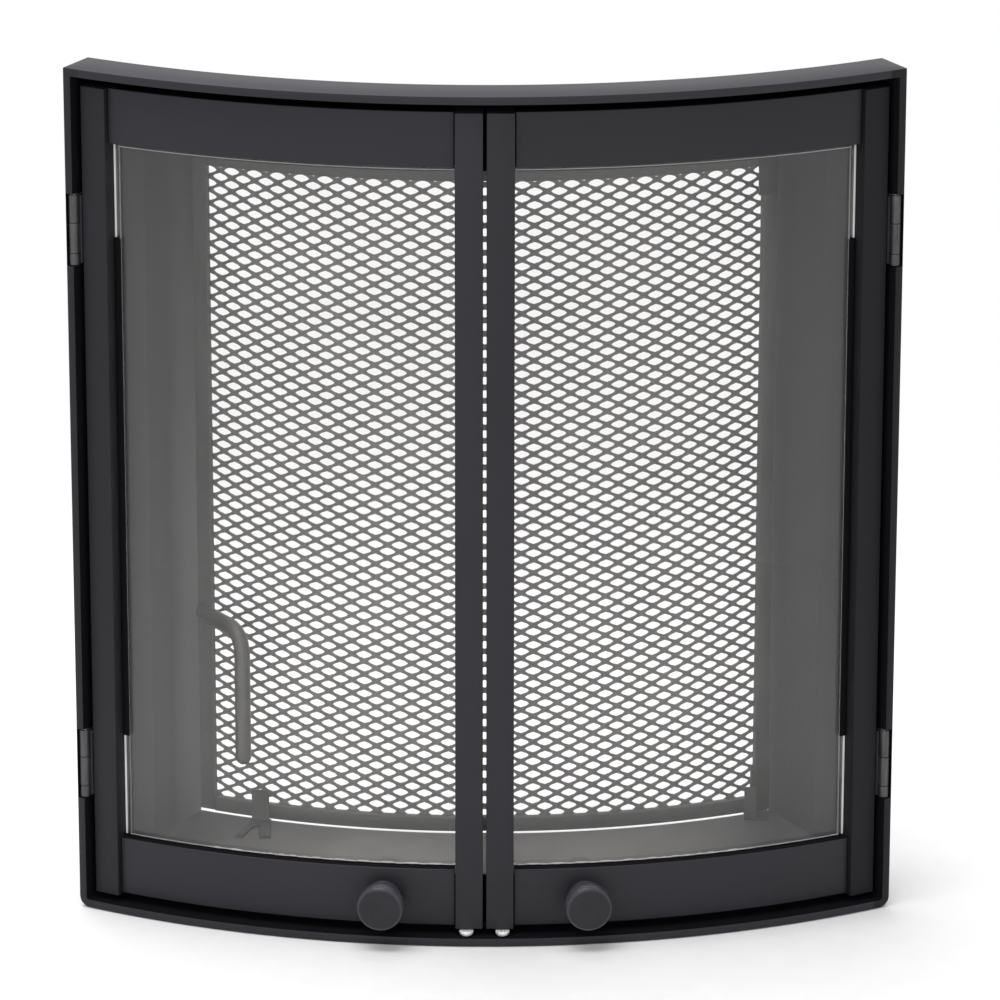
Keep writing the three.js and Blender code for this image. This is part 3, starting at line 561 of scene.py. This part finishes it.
def notched(bm):
    """The rim with room for the hinges' knuckles in the front edges of its sides."""
    bmesh.ops.recalc_face_normals(bm, faces=bm.faces)
    rim = as_object("notch_source", bm)
    tools = [notch_tool(side, bottom) for _, side in SIDES for bottom in HINGE_BOTTOMS.values()]
    for tool in tools:
        cutter = rim.modifiers.new("notch", "BOOLEAN")
        cutter.operation = "DIFFERENCE"
        cutter.solver = "EXACT"
        cutter.object = tool
    cut = bmesh.new()
    cut.from_object(rim, bpy.context.evaluated_depsgraph_get())
    for o in [rim, *tools]:
        bpy.data.objects.remove(o)
    return cut


def build_hinge_leaf(node, side, body):
    """Bare knuckles on a leaf that is coated like the door beside it."""
    clear = 0.15
    leaf = dressed(node, "hinge", body, bevel=0.22, smooth=45)
    radial = Vector((math.sin(side * HALF_ANGLE), -math.cos(side * HALF_ANGLE), 0))
    across = Vector((-radial.y, radial.x, 0))
    axis = Vector((0, CENTRE_Y, 0)) + radial * HINGE_RADIUS - across * side * HINGE_INSET

    def off_knuckle(normal, centre, facing):
        away = centre * 1000 - axis
        away.z = 0
        return away.length > KNUCKLE_RADIUS + clear

    repaint(leaf, "door_left" if side < 0 else "door_right", off_knuckle)


def build_stop():
    """The screen's stop, its tab as wide as the lug in the photograph."""
    stop_x, tab_half_width, seen_half_width, tolerance = -167, 4.6, 6.4, 0.1
    bm = copy_of("screen_stop")
    for v in bm.verts:
        offset = v.co.x * 1000 - stop_x
        if abs(abs(offset) - tab_half_width) < tolerance:
            v.co.x = (stop_x + math.copysign(seen_half_width, offset)) / 1000
    show("screen_stop_finished", bm, "lug", "frame", ["screen_stop"], bevel=0.3)


def build_frame():
    build_rim()
    inset = RIM_PLATE + GAP
    end = in_from_rim(inset)
    for node, low, high in (
        ("sill_plate", inset, FLOOR_TOP), ("header_plate", CEILING_UNDERSIDE, HEIGHT - inset),
    ):
        bar = bent_bar(SILL_RADIUS - SILL_PLATE, SILL_RADIUS, mirrored(end), end, low, high)
        show(node + "_finished", bar, "shaded", "frame", [node], bevel=0.4)
    dressed("floor_plate", "hearth", "frame", bevel=0.4)
    dressed("ceiling_plate", "lining_left", "frame", bevel=0.4)
    dressed("wing_left", "lining_left", "frame", bevel=0.1, segments=1)
    dressed("wing_right", "lining_right", "frame", bevel=0.4)
    for node in ("screen_bracket_lower", "screen_bracket_upper"):
        dressed(node, "lug", "frame", bevel=0.3)
    build_stop()
    for word, side in SIDES:
        dressed("magnet_" + word, "bright", "frame", segments=3)
        for level in HINGE_BOTTOMS:
            build_hinge_leaf(f"hinge_frame_leaf_{word}_{level}", side, "frame")
            dressed(f"hinge_pin_{word}_{level}", "pin", "frame", bevel=0.15, smooth=50)


# ---------------------------------------------------------------- doors


def build_glass(word, side, body):
    """A bent pane with ground edges, and the bright edge lines that show beside the door's bars, which glow
    with painted light.
    """
    low = DOOR_BOTTOM + BOTTOM_RAIL + GLASS_EDGE_GAP
    high = DOOR_TOP - TOP_RAIL - GLASS_EDGE_GAP
    back = GLASS_FACE - GLASS_THICKNESS
    pane = door_bar(side, back, GLASS_FACE, GLASS_CENTRE_EDGE, GLASS_OUTER_EDGE, low, high, 64)
    replaced = [word + "_glass"]
    piece = show(word + "_pane", pane, "glass", body, replaced, bevel=0.15, segments=1, smooth=30)
    # Painted glow: the pane's narrow faces glow, more dimly on its ends at the sides.
    repaint(piece, "edge_dim", lambda normal, centre, facing: facing <= 0.5)
    repaint(piece, "edge_side", lambda normal, centre, facing: facing <= 0.5 and abs(normal.z) < 0.5)
    # Painted glow: strips beside the outer stile, below and above the clamp, glow in the edge finishes.
    line_width, clear = 1.7, 0.4
    near, far = in_from_rim(OUTER_EDGE + line_width), in_from_rim(OUTER_EDGE)
    ends = (near, far) if side > 0 else (mirrored(far), mirrored(near))
    for name, z0, z1 in (("low", low, CLAMP_BOTTOM - clear), ("high", CLAMP_TOP + clear, high)):
        strip = bent_bar(back + 0.5, GLASS_FACE - GAP, *ends, z0, z1, 3)
        sliver = show(f"{word}_glass_edge_{name}", strip, "edge", body, bevel=0.25)
        repaint(sliver, "edge_side", lambda normal, centre, facing: facing <= 0.7)
    # Painted highlight: a thin line along the pane's top, just under the top rail, glowing faintly.
    front, top, size = GLASS_FACE + 0.2, high - 1.5, 0.6
    start, end = CENTRE_EDGE + 0.05, GLASS_OUTER_EDGE + 0.2
    line = door_bar(side, front, front + size, start, end, top - size, top)
    show(word + "_glass_highlight_line", line, "edge_dim", body)


def build_door(word, side):
    body = word + "_door"
    coat = "door_" + word
    dressed(word + "_outer_stile", "stile_" + word, body, bevel=0.8, segments=3)
    dressed(word + "_centre_stile", coat, body, bevel=0.8, segments=3)
    rails = (("top", DOOR_TOP - TOP_RAIL, DOOR_TOP), ("bottom", DOOR_BOTTOM, DOOR_BOTTOM + BOTTOM_RAIL))
    for name, low, high in rails:
        bar = door_bar(side, DOOR_FACE - RAIL_THICKNESS, DOOR_FACE, CENTRE_EDGE, OUTER_EDGE, low, high)
        node = f"{word}_{name}_rail"
        rail = show(node + "_finished", bar, coat, body, [node], bevel=0.8, segments=3)
        repaint(rail, "shaded", lambda normal, centre, facing: facing < 0.5)
    build_glass(word, side, body)
    dressed(word + "_glass_clamp", "shaded", body, bevel=0.25)
    build_knob(word, side, body)
    for level in HINGE_BOTTOMS:
        build_hinge_leaf(f"hinge_door_leaf_{word}_{level}", side, body)


def build_knob(word, side, body):
    """A turned knob on its rosette, held by a screw from behind."""
    bore = 2.9
    rosette = turned_about_knob(side, [
        (bore, GAP), (14, GAP), (14, 2.5), (13.7, 3.2), (13.0, 3.7), (12.4, 3.8), (bore, 3.8),
    ])
    replaced = [word + "_knob_rosette"]
    show(word + "_rosette", rosette, "knob_" + word, body, replaced, smooth=38)
    knob = turned_about_knob(side, [
        (bore, 4.1), (9.4, 4.1), (9.5, 4.5), (9.1, 5.3), (8.7, 6.2), (8.6, 7.5), (8.7, 8.9), (9.1, 10.0),
        (10.0, 11.2), (11.5, 11.8), (15.4, 12.0), (16.1, 12.2), (16.6, 12.7), (16.8, 13.4), (16.8, 22.6),
        (16.65, 23.2), (16.2, 23.8), (15.0, 24.9), (14.6, 25.15), (14.0, KNOB_FRONT),
    ])
    show(word + "_knob_finished", knob, "knob_" + word, body, [word + "_knob"], smooth=38)
    dressed(word + "_knob_screw", "screw", body, bevel=0.3, smooth=50)


# ---------------------------------------------------------------- spark screen


def expanded_net():
    """Expanded metal at its real pitch: staggered diamonds with long bonds, every strand tilted."""
    low, high = 48.5, 560.0
    columns, rows = 24, 99  # whole diamonds across, half rows up
    step_a = NET_ANGLE / columns  # half a diamond across
    step_z = (high - low) / (rows + 1)  # half a diamond up
    bm = bmesh.new()
    found = {}
    middle, half = 492.75, 0.42  # radius of the sheet's middle, half its thickness
    lean = 0.35  # how far a hole's upper and lower edges stand out of the sheet

    def vertex(across, up, depth, layer):
        across = max(0.0, min(2.0 * columns, across))
        up = max(0.0, min(rows + 1.0, up))
        key = (round(across, 3), round(up, 3), round(depth, 3), layer)
        if key not in found:
            radius = middle + depth + layer * half
            found[key] = bm.verts.new(place(radius, -NET_ANGLE + across * step_a, low + up * step_z))
        return found[key]

    def at_hole(column, row, corner, layer):
        across, up = corner
        return vertex(column + across, row + up, math.copysign(lean, up) if up else 0, layer)

    # In half diamonds, from the middle: the outline's corners and, inside them, the hole's.
    outline = [(-1, 0), (-0.5, -0.5), (0, -1), (0.5, -0.5), (1, 0), (0.5, 0.5), (0, 1), (-0.5, 0.5)]
    hole = [
        (-0.68, 0), (-0.46, -0.34), (0, -0.63), (0.46, -0.34),
        (0.68, 0), (0.46, 0.34), (0, 0.63), (-0.46, 0.34),
    ]

    for row in range(1, rows + 1):
        for column in range(1, 2 * columns):
            if (column + row) % 2:
                continue
            for i in range(8):
                j = (i + 1) % 8
                quad = {}
                for layer in (-1, 1):
                    a = vertex(column + outline[i][0], row + outline[i][1], 0, layer)
                    b = vertex(column + outline[j][0], row + outline[j][1], 0, layer)
                    c = at_hole(column, row, hole[j], layer)
                    d = at_hole(column, row, hole[i], layer)
                    quad[layer] = (a, b, c, d)
                    if len({a, b, c, d}) == 4:
                        bm.faces.new((a, b, c, d) if layer > 0 else (d, c, b, a))
                f, g = quad[1], quad[-1]
                bm.faces.new((f[3], f[2], g[2], g[3]))
    return bm


def handle_rod():
    """A round rod that stands off the left bar, bends down and ends in a dome."""
    radius, rod_x, behind_front, top, foot = 5.8, -178.4, 112, 204, 100
    sides, bend_steps, dome_steps = 32, 24, 9
    rod_y = CENTRE_Y + behind_front - BOW_RADIUS
    start = place(SCREEN_FACE + GAP, -SCREEN_ANGLE + SCREEN_BAR_WIDTH / 2 / SCREEN_FACE, top)
    corner = Vector((rod_x, rod_y, top)) / 1000
    end = Vector((rod_x, rod_y, foot)) / 1000
    into = (corner - start).normalized()
    down = (end - corner).normalized()
    bend = 20 / 1000
    before, after = corner - into * bend, corner + down * bend
    path = [start, before]
    for i in range(1, bend_steps):
        t = i / bend_steps
        path.append(before * (1 - t) ** 2 + corner * 2 * t * (1 - t) + after * t * t)
    path += [after, end - down * radius / 1000]
    widths = [radius] * len(path)
    for i in range(1, dome_steps):
        t = math.pi / 2 * i / dome_steps
        path.append(end - down * radius / 1000 * (1 - math.sin(t)))
        widths.append(radius * math.cos(t))
    side = into.cross(down).normalized()
    rings = []
    for i, p in enumerate(path):
        ahead = (path[min(i + 1, len(path) - 1)] - path[max(i - 1, 0)]).normalized()
        other = side.cross(ahead).normalized()
        ring = []
        for k in range(sides):
            t = 2 * math.pi * k / sides
            ring.append(p + (side * math.cos(t) + other * math.sin(t)) * widths[i] / 1000)
        rings.append(ring)
    # The first ring lies on the bar's face.
    face = Vector((math.sin(-SCREEN_ANGLE), -math.cos(-SCREEN_ANGLE), 0))
    along = (path[1] - path[0]).normalized()
    rings[0] = [q - along * ((q - start).dot(face) / along.dot(face)) for q in rings[0]]
    return bar_through(rings)


def build_screen():
    body = "spark_screen"
    dressed("screen_bar_left", "screen", body, bevel=0.15, segments=1)
    dressed("screen_bar_right", "screen", body)

    def end(radius):
        return SCREEN_ANGLE - math.asin((SCREEN_BAR_WIDTH + GAP) / radius)

    for node, low, high in (("screen_bar_bottom", 46.8, 57.8), ("screen_bar_top", 549.2, 561)):
        bar = bent_bar(SCREEN_FACE - SCREEN_BAR, SCREEN_FACE, mirrored(end), end, low, high)
        show(node + "_finished", bar, "screen", body, [node], bevel=0.5)
    show("screen_net", expanded_net(), "net", body, ["screen_mesh"], smooth=35)
    show("screen_handle_finished", handle_rod(), "handle", body, ["screen_handle"])
    dressed("screen_strap_lower", "lug", body, bevel=0.3)
    dressed("screen_strap_upper", "lug", body, bevel=0.3)


# The screen's two pins are shown as the CAD made them, in this finish. The other nodes are replaced.
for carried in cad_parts.values():
    carried.data.materials.clear()
    carried.data.materials.append(MATERIALS["pin"])

build_frame()
for word, side in SIDES:
    build_door(word, side)
build_screen()

# ---------------------------------------------------------------- stage


def build_floor():
    """A pale floor that fades into the white surroundings away from the object."""
    bm = bmesh.new()
    bmesh.ops.create_circle(bm, cap_ends=True, segments=96, radius=6)
    floor = as_object("floor", bm)
    floor.location = (0, 0, -0.0006)
    n = Nodes("floor_paper", Specular_IOR_Level=0.2, Roughness=0.9)
    distance = n.new("VectorMath", {0: n.coords}, operation="LENGTH").outputs["Value"]
    fibres = n.noise(40, 3)
    base = n.colours(fibres, (0.3, (0.93, 0.93, 0.93)), (0.7, (0.95, 0.95, 0.95)))
    n.link(Base_Color=base, Alpha=n.ramp(distance, 0.55, 1.1, 1.0, 0.0))
    floor.data.materials.append(n.material)


def area_light(name, location, size, power):
    """A round softbox aimed at the middle of the unit."""
    target = (0, 0, 0.3)
    data = bpy.data.lights.new(name, "AREA")
    data.shape = "DISK"
    data.size = size
    data.energy = power
    light = bpy.data.objects.new(name, data)
    light.location = location
    light.rotation_euler = (Vector(target) - Vector(location)).to_track_quat("-Z", "Y").to_euler()
    bpy.context.scene.collection.objects.link(light)


def build_world():
    """White wherever it is seen, directly or in glass, and dimmer as a light."""
    world = bpy.data.worlds.new("studio")
    bpy.context.scene.world = world
    world.use_nodes = True
    tree = world.node_tree
    background = tree.nodes["Background"]
    path = tree.nodes.new("ShaderNodeLightPath")
    seen = path.outputs["Is Camera Ray"]
    for ray in ("Is Glossy Ray", "Is Transmission Ray"):
        either = tree.nodes.new("ShaderNodeMath")
        either.operation = "MAXIMUM"
        tree.links.new(seen, either.inputs[0])
        tree.links.new(path.outputs[ray], either.inputs[1])
        seen = either.outputs[0]
    strength = tree.nodes.new("ShaderNodeMapRange")
    strength.inputs["To Min"].default_value = 0.6
    strength.inputs["To Max"].default_value = 1.0
    tree.links.new(seen, strength.inputs["Value"])
    background.inputs["Color"].default_value = (1, 1, 1, 1)
    tree.links.new(strength.outputs[0], background.inputs["Strength"])


build_floor()
build_world()
area_light("top_softbox", (-0.4, 0.1, 2.6), 2.2, 60)
area_light("front_softbox", (-0.7, -3.4, 1.9), 1.8, 14)

# ---------------------------------------------------------------- camera


def build_camera():
    """The photograph's viewing angle, fitted to the rim's corners, the rails and the knobs."""
    location = Vector((0.0032, -4.5, 1.85376))
    pitch, yaw, roll = 0.32875, -0.00175, 0.00134
    focal_pixels, picture_pixels = 6551.67, 1000
    forward = Vector((-math.sin(yaw) * math.cos(pitch), math.cos(yaw) * math.cos(pitch), -math.sin(pitch)))
    right = Vector((math.cos(yaw), math.sin(yaw), 0))
    up = right.cross(forward)
    turned_right = math.cos(roll) * right + math.sin(roll) * up
    turned_up = -math.sin(roll) * right + math.cos(roll) * up
    data = bpy.data.cameras.new("camera")
    data.sensor_width = 36
    data.lens = focal_pixels / picture_pixels * data.sensor_width
    camera = bpy.data.objects.new("camera", data)
    camera.matrix_world = Matrix.Translation(location) @ Matrix(
        (turned_right, turned_up, -forward)
    ).transposed().to_4x4()
    bpy.context.scene.collection.objects.link(camera)
    bpy.context.scene.camera = camera


build_camera()
bpy.context.scene.view_settings.view_transform = "Standard"
